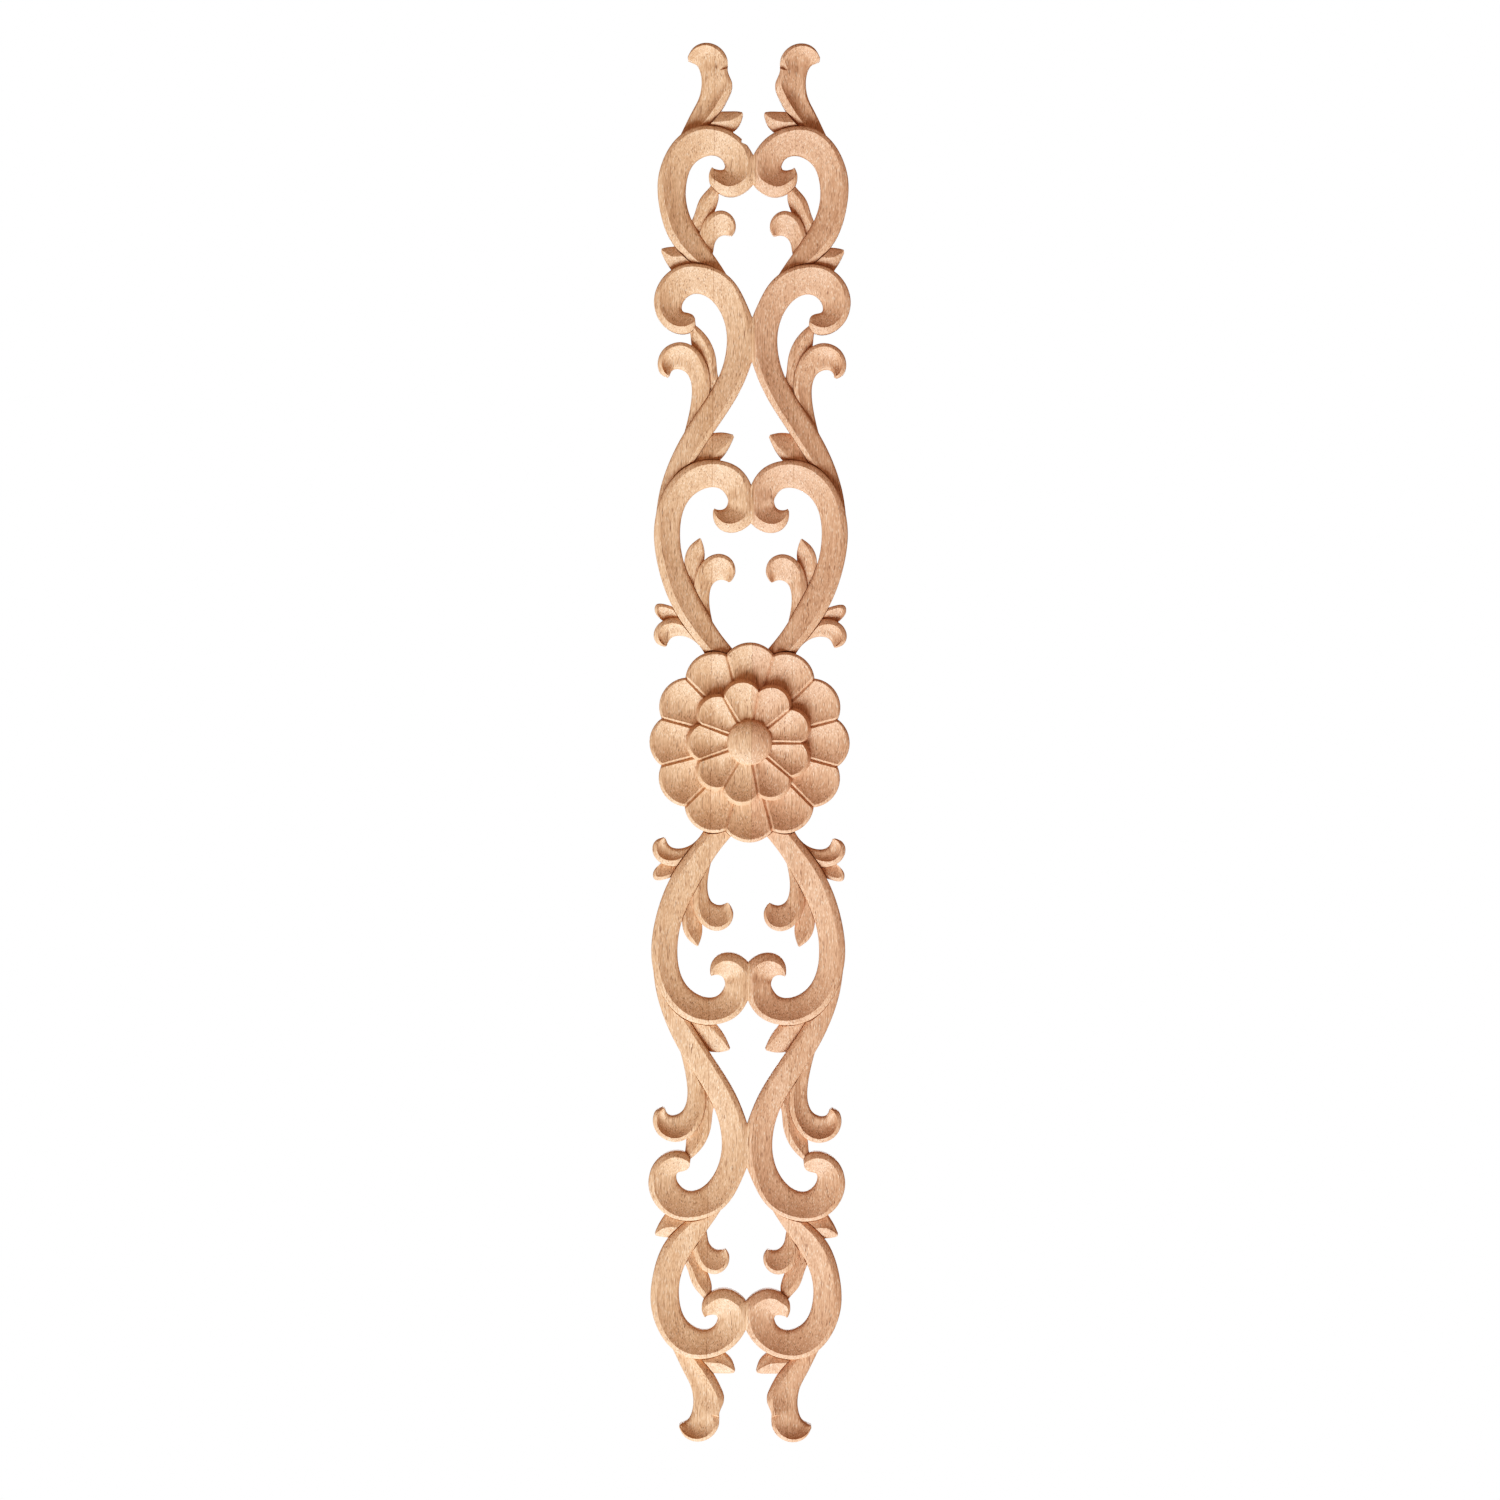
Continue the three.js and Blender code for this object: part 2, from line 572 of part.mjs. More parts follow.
function rosette() {
  const outer = petalRing({
    count: OUTER_PETALS,
    turn: Math.PI / 2,
    diameter: ROSETTE_DIAMETER,
    valleyShare: OUTER_VALLEY_SHARE,
    footRadius: INNER_RING_DIAMETER * 0.4,
    footHeight: PETAL_FOOT_HEIGHT,
    scoop: PETAL_SCOOP,
    rimHeight: ROSETTE_RIM_HEIGHT,
    rimBevel: ROSETTE_RIM_BEVEL,
    edgeHeight: ROSETTE_EDGE_HEIGHT,
  });
  const inner = petalRing({
    count: INNER_PETALS,
    turn: INNER_RING_TURN,
    diameter: INNER_RING_DIAMETER,
    valleyShare: INNER_VALLEY_SHARE,
    footRadius: BUTTON_DIAMETER * 0.45,
    footHeight: INNER_PETAL_FOOT_HEIGHT,
    scoop: INNER_PETAL_SCOOP,
    rimHeight: INNER_RING_HEIGHT,
    rimBevel: INNER_RIM_BEVEL,
    edgeHeight: INNER_RING_EDGE_HEIGHT,
  });
  return outer.add(inner).add(button());
}

// What the rosette cuts from the scrolls' ends: all above a height, within its own outline
function rosetteCut() {
  const steps = 4 * OUTER_PETALS;
  const half = Math.PI / OUTER_PETALS;
  const section = (height) =>
    [...Array(steps).keys()].map((k) => {
      const angle = (2 * Math.PI * k) / steps;
      const offset = ((angle + half) % (2 * half)) - half;
      const radius = scallop(ROSETTE_DIAMETER / 2, OUTER_VALLEY_SHARE, half, offset) - OVERLAP;
      return [radius * Math.cos(angle), -height, radius * Math.sin(angle)];
    });
  return loft([section(UNDERLAP_HEIGHT), section(CUT_HEIGHT)]);
}

// The chip, cut right through the rim
function chipCut() {
  const across = SCROLL_WIDTH / 2 / SQUARES_ACROSS;
  const along = LENGTH / 2 / SQUARES_ALONG;
  const section = (height) => CHIP.map(([x, z]) => [x * across, -height, z * along]);
  return loft([section(-1), section(CUT_HEIGHT)]);
}

// Assembly

function onlay() {
  let quarter = strip(LAYERS[0]);
  for (const form of LAYERS.slice(1)) {
    quarter = quarter.subtract(stripCut(form)).add(strip(form));
  }
  const half = quarter.add(mirrored(quarter, 0));
  const scrolls = half.add(mirrored(half, 2));
  return scrolls.subtract(rosetteCut()).add(rosette()).subtract(chipCut());
}

function geometryOf(solid) {
  const mesh = solid.getMesh();
  const geometry = new THREE.BufferGeometry();
  geometry.setAttribute("position", new THREE.BufferAttribute(mesh.vertProperties, 3));
  geometry.setIndex(new THREE.BufferAttribute(mesh.triVerts, 1));
  return geometry;
}

const wood = new THREE.MeshStandardMaterial({ color: 0xd8ad8a, roughness: 0.65, metalness: 0 });
const carved = new THREE.Mesh(geometryOf(onlay().simplify(FACET_SLACK)), wood);
carved.name = "carved_onlay";

const part = new THREE.Group();
part.add(carved);

export default part;
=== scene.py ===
"""Dresses a long carved wooden onlay: fine carving, rubberwood, camera and soft light."""

import math

import bpy
import numpy as np
from mathutils import Matrix, Vector


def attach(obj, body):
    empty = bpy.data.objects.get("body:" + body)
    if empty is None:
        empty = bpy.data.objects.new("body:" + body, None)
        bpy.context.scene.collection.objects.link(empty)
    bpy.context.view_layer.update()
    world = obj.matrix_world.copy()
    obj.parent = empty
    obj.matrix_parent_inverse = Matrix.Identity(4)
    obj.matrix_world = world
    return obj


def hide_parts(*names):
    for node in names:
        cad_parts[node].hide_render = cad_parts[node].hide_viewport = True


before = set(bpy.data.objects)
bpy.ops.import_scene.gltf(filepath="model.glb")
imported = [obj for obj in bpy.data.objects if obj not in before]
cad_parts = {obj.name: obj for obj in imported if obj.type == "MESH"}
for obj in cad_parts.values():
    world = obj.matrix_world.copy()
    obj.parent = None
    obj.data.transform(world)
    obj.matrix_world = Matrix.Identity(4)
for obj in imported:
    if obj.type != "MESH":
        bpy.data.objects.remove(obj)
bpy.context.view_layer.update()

MM = 0.001

# Sizes of the onlay, in millimetres. They are the solid's, but here the veins are a little wider and deeper
# and the inner petals' foot is a little higher.
LENGTH = 800
SCROLL_WIDTH = 112.6  # across the widest pair of scrolls
SCROLL_HEIGHT = 12  # from the back to the crest of a scroll
BEVEL = 3  # usual width of the bevel between a scroll's outer edge and its crest
DIP = 0.6  # how far a row's dip of 1 sinks the face
ROSETTE_DIAMETER = 114.6
ROSETTE_RIM_HEIGHT = 13
ROSETTE_RIM_BEVEL = 1.8
ROSETTE_EDGE_HEIGHT = 11.8  # top of the rosette's outer wall
PETAL_FOOT_HEIGHT = 9.6  # the outer petals' sides, beside the inner ring
PETAL_SCOOP = 2.1  # how far an outer petal's middle dips below its sides
INNER_RING_DIAMETER = 73.2
INNER_RING_HEIGHT = 15
INNER_RIM_BEVEL = 2.2
INNER_RING_EDGE_HEIGHT = 10.5
INNER_PETAL_FOOT_HEIGHT = 11.6
INNER_PETAL_SCOOP = 1.5
BUTTON_DIAMETER = 26
BUTTON_HEIGHT = 16
BUTTON_EDGE_HEIGHT = 12.2  # top of the button's wall
VEIN_WIDTH = 2.4  # the V-cut between two petals
VEIN_DEPTH = 1.7
UNDERLAP_HEIGHT = 4.5  # how much of a lower form is left below the form that crosses it
CUT_HEIGHT = 2 * BUTTON_HEIGHT  # above all the carving
BELOW_BACK = -1  # where a cut that goes right through starts

# Sizes of the finest carving, in millimetres, which the solid doesn't have
BUTTON_ARRIS = 1  # how far below its top the button's wall starts
INNER_BEVEL = 1.7  # width of the small bevel along the inner edge
INNER_BEVEL_DROP = 1.2
ARRIS = 0.45  # rounding at the top of an outer wall
FACE_HOLLOW = 0.45  # how far every wide face dips, besides its row's own dip
FULL_FACE = 12  # a face narrower than this is less hollow
FULL_STRIP = 9  # a strip narrower than this has a smaller arris and inner bevel

# Proportions of the carving
BEVEL_SLOPE = 0.45  # how steeply a bevel rises from the outer wall to the crest
BEVEL_ROUND = 1.15  # above 1 a bevel bulges
INNER_SHARE = 0.52  # inner edge's height over the crest's, at the least
FACE_SLOPE = 0.42  # how steeply a face falls from the crest to the inner edge, at the most
WIDEST_BEVEL = 0.72  # of the strip's width
CREASE_SPREAD = 0.14  # how much wider a crease gets for each millimetre of height
CUT_SPREAD = CREASE_SPREAD * (CUT_HEIGHT - UNDERLAP_HEIGHT)

# The points of a strip's section. An arris has shares of ARRIS inwards and down, the bevel and the face
# have shares of their widths, and the inner bevel has shares of its width and drop, from the inner edge.
ARRIS_POINTS = ((0, 1.2), (0.25, 0.4))
BEVEL_PLACES = (0.17, 0.38, 0.6, 0.8, 0.93, 1)
FACE_PLACES = (0.06, 0.2, 0.36, 0.54, 0.74, 0.92)
INNER_BEVEL_POINTS = ((0.7, 0.25), (0.2, 0.85), (0, 1.3))

# Fineness of the mesh
LONGEST_STEP = 3.2
STEP_STRAY = 0.02  # how far an outline may stray from its curve between two stations
SAMPLES = 24  # fine samples between two rows of a form
SHARP_ANGLE = math.radians(38)

# One quarter of the pattern is drawn in squares. A row holds a point of the outer edge, its partner on the
# inner edge, and the bevel's width and the crest's height as shares. Then may come how level the face is,
# from 0 to 1, and how far it dips besides the usual hollow, as a share of DIP.
ROW_LENGTH = 8
SQUARES_ACROSS = 56.3
SQUARES_ALONG = 400
ACROSS = SCROLL_WIDTH / 2 / SQUARES_ACROSS  # a square's width in millimetres
ALONG = LENGTH / 2 / SQUARES_ALONG

END_C = [
    [20, 262, 9.3, 257.5, 1.2, 0.72, 0.1],
    [28, 269, 14, 266.5, 1.3, 0.8, 0.15],
    [36, 275.3, 20, 275.8, 1.4, 0.86, 0.2],
    [46.2, 286, 28.4, 287.6, 1.4, 0.93, 0.2],
    [53, 303, 36.4, 302.6, 1.3, 1],
    [54.7, 318, 38.5, 316.5, 1.2, 1],
    [52.4, 330.8, 36.1, 328, 1, 1],
    [45.2, 343.8, 31.1, 334, 0.85, 1],
    [33.8, 351.6, 25.3, 336.4, 0.85, 1],
    [20, 351.9, 20.3, 335.8, 0.85, 1],
    [7, 345.4, 17.3, 333.2, 0.95, 1],
    [-0.9, 334.2, 16.3, 330.6, 1.3, 1],
    [-2.8, 328, 16.2, 329.7, 1.75, 1],
    [-1.6, 322.4, 16.5, 328.9, 1.7, 1],
    [4.8, 315.2, 17, 328.1, 1.85, 1],
    [12.6, 312.5, 18.9, 327.7, 1.9, 1],
    [20.2, 314.9, 21, 327.9, 1.85, 1],
    [24.9, 320.4, 22.3, 328.2, 1.1, 0.95],
    [25.2, 325.4, 22.9, 328.5, 0.6, 0.9],
    [24, 328.4, 23.3, 328.9, 0.3, 0.85],
]
S_SCROLL = [
    [52, 131, 54.7, 127.5, 0.4, 0.6],
    [43.5, 143, 52.8, 142, 0.8, 0.66, 0.1],
    [33, 160, 46.8, 161, 0.95, 0.8, 0.2],
    [20.5, 179.4, 36.9, 180, 1, 0.92, 0.25],
    [6.2, 202.5, 22.8, 201.8, 1.15, 1, 0.25],
    [-0.4, 219.5, 16.2, 217.5, 1.35, 1, 0.1],
    [-2.6, 231.5, 14.5, 229.5, 1.7, 1],
    [3.3, 251, 17.6, 245.2, 0.95, 1],
    [13.2, 266.2, 24, 253.9, 0.68, 1],
    [27, 273, 30.2, 257, 0.72, 1],
    [41, 272.6, 35.6, 256.3, 0.68, 1],
    [52, 264.6, 39.4, 252.6, 0.9, 1],
    [56.3, 252.8, 40.4, 249.2, 1.1, 1],
    [53.9, 242.6, 39.7, 246.7, 1.1, 1],
    [47.2, 235.8, 37.5, 245.9, 1.15, 1],
    [39.6, 233.7, 35.2, 245.2, 1.45, 0.97],
    [34.2, 235.6, 33.5, 243.9, 1.4, 0.92],
    [32.3, 239.2, 32.7, 242.4, 0.6, 0.85],
]
CENTRE_C = [
    [13, 33, -2, 39, 1.3, 0.8, 0.2],
    [22, 46, 7, 50, 1.4, 0.88, 0.25],
    [34, 61.4, 17.6, 63, 1.4, 0.95, 0.3],
    [44.2, 76.6, 26.2, 77, 1.45, 1, 0.3],
    [51.6, 94.8, 35, 94, 1.5, 1, 0.2],
    [55.1, 112, 39.8, 110, 1.4, 1],
    [54.6, 129, 40, 127.5, 1.2, 1],
    [47.9, 146.6, 34.8, 139.8, 1.05, 1],
    [35.5, 158.5, 27.2, 145.2, 1.05, 1],
    [20, 161.5, 20.8, 146.2, 0.88, 1],
    [7, 157, 16.5, 144.4, 0.92, 1],
    [-0.5, 146.3, 13.8, 140.6, 1.2, 1],
    [-2.8, 137.4, 13.2, 138.2, 1.75, 1],
    [-2.4, 129.6, 13.7, 136, 1.6, 1],
    [3, 123, 14.7, 134.3, 1.65, 1],
    [10.6, 120.2, 16.8, 133.2, 1.75, 1],
    [17.8, 122.2, 18.9, 133.1, 1.75, 1],
    [21.6, 128, 20.2, 133.4, 1.1, 0.95],
    [21.8, 132.4, 21, 133.8, 0.3, 0.85],
]
END_HORN = [
    [33, 344, 46.5, 338.5, 0.9, 0.6, 0, 0.5],
    [26.3, 352.4, 40.3, 351, 1.3, 0.7, 0, 1],
    [18.8, 361.3, 34.9, 361.8, 1.5, 0.86, 0, 2.5],
    [13.9, 370.2, 31, 370, 1.4, 0.95, 0, 3],
    [12.3, 377, 29.9, 377.2, 1.1, 1, 0, 1.5],
    [14.9, 384.4, 30.7, 384, 0.7, 1, 0, 0.2],
    [15, 390, 31.9, 387, 0.7, 1, 0, 1],
    [19.2, 397, 33.5, 388.6, 0.75, 1, 0, 1.3],
    [27.8, 399.99, 35.2, 389.4, 0.75, 0.98, 0, 1],
    [34.8, 397, 36.7, 390, 0.7, 0.95, 0, 0.5],
    [37.9, 391.9, 37.7, 390.4, 0.3, 0.85, 0, 0],
]
END_LEAF = [
    [27, 360, 27, 341, 1.9, 0.84],
    [20.3, 361, 19, 343, 2.1, 0.88],
    [13.8, 361.2, 12.8, 348.8, 1.9, 0.88],
    [9.2, 361.1, 8, 353.7, 1.1, 0.85],
    [6.5, 360.6, 6, 359.3, 0.3, 0.78],
]
OUTER_LEAF = [
    [32, 284, 31, 262, 2, 0.8],
    [42.6, 283.8, 42, 264.5, 2.1, 0.84],
    [46.6, 283.5, 46.6, 270.4, 1.9, 0.84],
    [49.8, 283, 50.2, 276, 1.1, 0.8],
    [52.1, 282.3, 52.4, 280.8, 0.3, 0.74],
]
MIDDLE_LEAF = [
    [31, 153, 38, 168, 1.2, 0.66, 0, -0.8],
    [24, 156.5, 31, 173, 1.3, 0.72, 0, -0.8],
    [17.3, 162.4, 23.5, 176.8, 1.2, 0.76, 0, -0.8],
    [12.9, 168.6, 16.2, 177.5, 0.9, 0.76, 0, -0.5],
    [10, 175, 10.7, 176.2, 0.3, 0.7, 0, 0],
]
ROSETTE_LEAF = [
    [36, 75, 38, 66, 0.7, 0.6],
    [43, 77, 43, 66, 0.7, 0.66],
    [49, 78.9, 46.5, 67, 0.7, 0.7],
    [54.2, 78.4, 48.6, 68, 0.8, 0.72],
    [54.7, 74.6, 49.5, 68.8, 0.9, 0.72],
    [51.6, 70.4, 50.2, 69.3, 0.3, 0.66],
]
END_LEAFLET = [
    [40, 288, 29, 285, 0.6, 0.54],
    [36.5, 295.5, 28.5, 292, 0.7, 0.58],
    [33, 304, 23.2, 301.8, 1, 0.66],
    [29.8, 312, 20, 310, 1.2, 0.72],
    [25, 317.6, 20.2, 316, 0.9, 0.68],
    [23.4, 319.8, 21.9, 319.3, 0.3, 0.6],
]
S_LEAFLET = [
    [16.5, 202, 24, 197, 0.8, 0.56],
    [19.4, 210, 26.8, 206, 0.9, 0.6],
    [20.8, 221, 29.8, 217.8, 1, 0.68],
    [25.2, 231.4, 34.4, 225.9, 1, 0.72],
    [31.6, 238.1, 35.5, 234, 0.7, 0.68],
    [34.4, 240.2, 36.4, 237.8, 0.4, 0.6],
]
CENTRE_LEAFLET = [
    [41, 88, 31, 88, 0.6, 0.54],
    [38.4, 97, 29, 96, 0.7, 0.6],
    [37.7, 106, 26.5, 105, 0.85, 0.68],
    [34.3, 113, 26.9, 111.8, 0.85, 0.72],
    [29.3, 116.9, 28.5, 116.4, 0.3, 0.66],
]
END_LOBE = [
    [31, 279, 24, 276, 0.7, 0.54],
    [31, 287, 22.5, 281.8, 0.9, 0.6],
    [29.6, 294.6, 21.6, 286.4, 1, 0.7],
    [24.6, 302, 18.8, 290, 0.9, 0.8],
    [17, 304.2, 15.8, 290.8, 0.8, 0.86],
    [10.6, 299.2, 13.7, 290.4, 0.75, 0.86],
    [9.9, 293.6, 12.7, 290.2, 0.6, 0.82],
    [11.2, 291, 12.2, 290, 0.3, 0.78],
]
S_LOBE = [
    [32, 176, 40.2, 171.5, 0.7, 0.54, 0, 1],
    [27, 189, 36.2, 187, 0.8, 0.6, 0, 1],
    [23.9, 203, 34.4, 202, 0.9, 0.7, 0, 1],
    [25.5, 214.8, 35.9, 209.2, 0.9, 0.8, 0, 1],
    [32.6, 225.6, 39.2, 212.9, 0.8, 0.88, 0, 1.5],
    [41.5, 228.8, 42.6, 213.9, 0.75, 0.88, 0, 2],
    [50.4, 225, 45, 213.4, 0.8, 0.88, 0, 2.5],
    [54, 217, 46.2, 212.2, 0.95, 0.88, 0, 2.5],
    [52.4, 211.1, 46.9, 210.8, 0.95, 0.86, 0, 1.5],
    [48.5, 208.8, 47.2, 209.6, 0.4, 0.8, 0, 0],
]
CENTRE_LOBE = [
    [29, 63, 20, 62.5, 1, 0.58],
    [32.3, 78, 23.2, 77, 1.3, 0.62],
    [32.2, 91.5, 23.3, 85.8, 1.4, 0.72],
    [27.3, 103.4, 20.8, 91.6, 0.9, 0.82],
    [18.2, 107.9, 16.7, 93.2, 0.8, 0.88],
    [10.3, 103.8, 13.9, 92.5, 0.8, 0.88],
    [8.9, 96.4, 12.7, 91.9, 0.7, 0.84],
    [10.8, 92.7, 12.1, 91.6, 0.3, 0.78],
]
ROSETTE_LOBE = [
    [24, 58, 24.5, 47.5, 1.7, 0.62, 0, -1],
    [31, 65, 29, 55, 1.7, 0.7, 0, -1],
    [38.5, 70.2, 36, 60.1, 1.5, 0.78, 0, 0],
    [46, 70.8, 42.4, 60.8, 1.05, 0.84, 0, 1],
    [52.8, 67.2, 45.7, 59.2, 0.9, 0.86, 0, 1.5],
    [55.3, 60.6, 47, 57.2, 1, 0.86, 0, 1.5],
    [53, 56.1, 47.6, 55.7, 0.9, 0.82, 0, 1],
    [49, 54.5, 48, 54.9, 0.3, 0.76, 0, 0],
]

# Lowest form first
LAYERS = [
    END_LEAF, END_HORN, END_LEAFLET, END_LOBE, OUTER_LEAF,
    S_LEAFLET, S_LOBE, MIDDLE_LEAF,
    CENTRE_LEAFLET, CENTRE_LOBE, ROSETTE_LEAF, ROSETTE_LOBE,
    END_C, S_SCROLL, CENTRE_C,
]

# The petals' scalloped outlines and hollows
OUTER_PETALS = 12
INNER_PETALS = 9
OUTER_RING_TURN = math.pi / 2
INNER_RING_TURN = math.pi / INNER_PETALS  # a vein points straight across
OUTER_VALLEY_SHARE = 0.911  # a valley's radius over a tip's
INNER_VALLEY_SHARE = 0.85
OUTER_FOOT_SHARE = 0.4  # radius of the outer petals' foot over the inner ring's diameter
INNER_FOOT_SHARE = 0.45  # radius of the inner petals' foot over the button's diameter
HOLLOW_FROM = 0.28  # on the way from the foot to the rim, where a petal starts to rise
RIM_SCOOP_SHARE = 0.2  # how much of a petal's scoop is left at the rim
RIM_ROUND = 1.4  # above 1 a rim bulges
FOOT_LIP = 0.3  # how far a petal turns up at its foot, in millimetres
LIP_SHARE = 0.24  # of the petal's length
# Where a petal's mesh has points: shares of the way from the foot to the rim, shares of the rim's bevel from
# its crest to the wall, and places from one side of the petal to the other, closer together at its sides.
PETAL_PLACES = (0, 0.07, 0.14, 0.22, 0.3, 0.37, 0.45, 0.54, 0.63, 0.72, 0.81, 0.89, 0.95, 0.99)
RIM_PLACES = (0.97, 0.8, 0.55, 0.3, 0.1)
ACROSS_PETAL = np.sin(np.linspace(-1, 1, 17) * math.pi / 2)

# A vein's flanks, as shares of its half width and of its depth
WIDEST_VEIN = 0.4  # of half a petal
VEIN_EDGE = 0.85
VEIN_EDGE_DEPTH = 0.16
VEIN_LIP = 1.15

# The button's dome
DOME_POWER = 2.6  # how flat its middle is
DOME_PLACES = (0.12, 0.25, 0.38, 0.5, 0.61, 0.71, 0.8, 0.87, 0.93)
DOME_EDGE = 0.975
BUTTON_SIDES = 96
ROSETTE_CUT_SIDES = 24  # for each petal

# The carver's stop cut behind the ear of the end horn: points in squares, and depths below the crest
STOP_CUT = [[13, 386.8, 2.8], [16.2, 385.4, 2], [19.4, 384.4, 1.4], [23, 384.2, 0.7], [26, 384.8, 0]]
STOP_CUT_STEEP = 0.4  # run over rise of its steep side
STOP_CUT_FLAT = 3.5

# The chip in the rim of one end scroll: corners in squares
CHIP = [[-7.3, 343.3], [-3.6, 341.7], [-5.6, 347]]


# Meshes

def mesh_object(name, points, polygons):
    """An object from points in millimetres, with its polygons turned to face outwards."""
    mesh = bpy.data.meshes.new(name)
    mesh.from_pydata((np.asarray(points) * MM).tolist(), [], polygons)
    mesh.validate()
    obj = bpy.data.objects.new(name, mesh)
    bpy.context.scene.collection.objects.link(obj)
    if volume_of(mesh) < 0:
        mesh.flip_normals()
    return obj


def volume_of(mesh):
    """Six times the mesh's volume, below zero where its faces point inwards."""
    mesh.calc_loop_triangles()
    corners = np.empty(len(mesh.loop_triangles) * 3, dtype=np.int32)
    mesh.loop_triangles.foreach_get("vertices", corners)
    points = np.empty(len(mesh.vertices) * 3, dtype=np.float32)
    mesh.vertices.foreach_get("co", points)
    a, b, c = np.moveaxis(points.reshape(-1, 3)[corners.reshape(-1, 3)], 1, 0)
    return float(np.einsum("ij,ij->i", a, np.cross(b, c)).sum())


def walls(count, corners):
    """The polygons between each section and the next, where all sections have as many corners."""
    polygons = []
    for s in range(1, count):
        for k in range(corners):
            n = (k + 1) % corners
            a, b = (s - 1) * corners, s * corners
            polygons.append((a + k, a + n, b + n, b + k))
    return polygons


def loft(name, sections):
    """The skin that joins a row of like sections, closed by the first and the last of them."""
    sections = np.asarray(sections)
    count, corners = sections.shape[:2]
    polygons = walls(count, corners)
    last = (count - 1) * corners
    polygons.append(tuple(reversed(range(corners))))
    polygons.append(tuple(last + k for k in range(corners)))
    return mesh_object(name, sections.reshape(-1, 3), polygons)


def combine(target, tool, operation):
    """Cuts the tool from the target or joins them. The tool is used up."""
    modifier = target.modifiers.new("combine", "BOOLEAN")
    modifier.solver = "MANIFOLD"
    modifier.operation = operation
    modifier.object = tool
    bpy.context.view_layer.update()
    graph = bpy.context.evaluated_depsgraph_get()
    mesh = bpy.data.meshes.new_from_object(target.evaluated_get(graph))
    target.modifiers.remove(modifier)
    old = target.data
    target.data = mesh
    bpy.data.meshes.remove(old)
    used = tool.data
    bpy.data.objects.remove(tool)
    bpy.data.meshes.remove(used)


def mirrored(obj, axis):
    """A copy of the object in the mirror plane where the axis's coordinate is zero."""
    copy = obj.copy()
    copy.data = obj.data.copy()
    bpy.context.scene.collection.objects.link(copy)
    scale = [1, 1, 1]
    scale[axis] = -1
    copy.data.transform(Matrix.Diagonal((*scale, 1)))
    copy.data.flip_normals()
    return copy


# Strips

def smooth_curve(places, rows):
    """A natural cubic curve through the rows, each column by itself."""
    rows = np.asarray(rows, dtype=float)
    gaps = np.diff(places)
    count = len(rows)
    system = np.zeros((count, count))
    goal = np.zeros_like(rows)
    system[0, 0] = system[-1, -1] = 1
    for i in range(1, count - 1):
        system[i, i - 1 : i + 2] = gaps[i - 1], 2 * (gaps[i - 1] + gaps[i]), gaps[i]
        goal[i] = 6 * ((rows[i + 1] - rows[i]) / gaps[i] - (rows[i] - rows[i - 1]) / gaps[i - 1])
    bends = np.linalg.solve(system, goal)

    def at(i, share):
        a, b = 1 - share, share
        lift = (a**3 - a) * bends[i] + (b**3 - b) * bends[i + 1]
        return a * rows[i] + b * rows[i + 1] + lift * gaps[i] ** 2 / 6

    return at


def stations_of(form):
    """Stations along a form, in millimetres: outer point, inner point, bevel, crest, level and dip."""
    rows = []
    for row in form:
        ox, oz, ix, iz, bevel, crest, level, dip = row + [0] * (ROW_LENGTH - len(row))
        place = [ox * ACROSS, oz * ALONG, ix * ACROSS, iz * ALONG]
        rows.append([*place, bevel * BEVEL, crest * SCROLL_HEIGHT, level, dip * DIP])
    rows = np.array(rows)
    moves = np.diff(rows, axis=0)
    steps = (np.hypot(moves[:, 0], moves[:, 1]) + np.hypot(moves[:, 2], moves[:, 3])) / 2
    curve = smooth_curve(np.concatenate([[0], np.cumsum(steps)]), rows)
    fine = [curve(i, k / SAMPLES) for i in range(len(rows) - 1) for k in range(SAMPLES)]
    fine.append(curve(len(rows) - 2, 1))
    return evenly(np.array(fine))


def evenly(fine):
    """The samples to keep as stations, closer together where the edges bend more."""
    bend = fine[1:-1] - (fine[:-2] + fine[2:]) / 2
    stray = np.maximum(np.hypot(bend[:, 0], bend[:, 1]), np.hypot(bend[:, 2], bend[:, 3]))
    stray = np.concatenate([stray[:1], stray])
    move = np.diff(fine, axis=0)
    length = np.maximum(np.hypot(move[:, 0], move[:, 1]), np.hypot(move[:, 2], move[:, 3]))
    effort = np.concatenate([[0], np.cumsum(np.sqrt(stray / (4 * STEP_STRAY)) + length / LONGEST_STEP)])
    goals = np.linspace(0, effort[-1], math.ceil(effort[-1]) + 1)
    return fine[np.unique(np.searchsorted(effort, goals).clip(0, len(fine) - 1))]


def profile(width, bevel, crest, level, dip):
    """The carved section across a strip: distances from the outer edge, and heights above the back."""
    small = min(1, width / FULL_STRIP)
    arris = ARRIS * small
    fall = BEVEL_SLOPE * bevel
    points = [(0, 0)]
    points += [(inwards * arris, crest - fall - down * arris) for inwards, down in ARRIS_POINTS]
    points += [(bevel * share, crest - fall * (1 - share) ** BEVEL_ROUND) for share in BEVEL_PLACES]
    rim = INNER_BEVEL * small
    drop = INNER_BEVEL_DROP * small
    face = width - rim - bevel
    lowest = max(crest * INNER_SHARE + drop, crest - FACE_SLOPE * face)
    edge = crest - (crest - lowest) * (1 - level)
    for share in FACE_PLACES:
        hollow = 4 * share * (1 - share) * (FACE_HOLLOW * min(1, face / FULL_FACE) + dip)
        points.append((bevel + face * share, crest + (edge - crest) * share - hollow))
    points += [(width - back * rim, edge - down * drop) for back, down in INNER_BEVEL_POINTS]
    points.append((width, 0))
    return points


def width_of(station):
    """The strip's width at a station."""
    ox, oz, ix, iz = station[:4]
    return math.hypot(ix - ox, iz - oz)


def point_on(station, distance, height):
    """The point so far from a station's outer edge towards the inner one, at a height above the back."""
    ox, oz, ix, iz = station[:4]
    width = width_of(station)
    return [ox + (ix - ox) * distance / width, -height, oz + (iz - oz) * distance / width]


